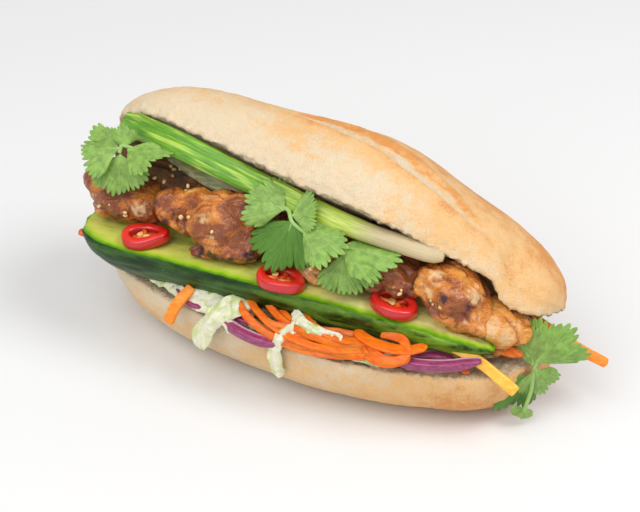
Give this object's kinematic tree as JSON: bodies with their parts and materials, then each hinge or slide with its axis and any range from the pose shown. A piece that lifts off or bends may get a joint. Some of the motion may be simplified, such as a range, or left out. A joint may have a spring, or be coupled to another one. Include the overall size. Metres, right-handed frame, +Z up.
{
  "type": "banh mi sandwich",
  "caption": "Filled bread roll slit along its front and hinged at its back, with cucumber, grilled chicken, shredded salad, chilli and herbs showing in the mouth.",
  "frame": {"origin": "on the flat underside of the roll, below the middle of its length", "axes": "+X along the roll, -Y towards the open front, +Z up"},
  "size_m": [0.2263, 0.0971, 0.1004],
  "materials": {
    "bread": "baked crust, matt, pale golden tan, paler at the lips; cream crumb on the cut faces",
    "cucumber": "waxy dark green skin with paler streaks, moist pale green flesh on the cut face",
    "lettuce": "crisp pale shredded leaf, slightly translucent",
    "carrot": "moist cut carrot, satin",
    "red_onion": "purple skin edge over pale pink flesh, moist",
    "spring_onion": "ribbed green leaf turning to a white bulb, waxy",
    "chilli": "glossy red skin round pale seeds",
    "chicken": "grilled and glazed, caramel brown with charred edges",
    "coriander": "soft matt leaf with paler veins and stalks"
  },
  "bodies": {
    "root": {"bread_roll": "bread", "cucumber_spear": "cucumber", "salad_bed": "lettuce", "carrot_bundle": "carrot", "carrot_stick_left": "carrot", "carrot_stick_right": "carrot", "carrot_stick_end": "carrot", "carrot_loop": "carrot", "lettuce_strip_left": "lettuce", "lettuce_strip_middle": "lettuce", "onion_slice_left": "red_onion", "onion_slice_right": "red_onion", "spring_onion": "spring_onion", "spring_onion_leaf": "spring_onion", "chilli_ring_1": "chilli", "chilli_ring_2": "chilli", "chilli_ring_3": "chilli", "chicken_1": "chicken", "chicken_2": "chicken", "chicken_3": "chicken", "chicken_4": "chicken", "chicken_5": "chicken", "chicken_6": "chicken", "chicken_7": "chicken", "chicken_8": "chicken", "coriander_left": "coriander", "coriander_middle": "coriander", "coriander_right": "coriander", "coriander_end": "coriander"}
  },
  "joints": []
}
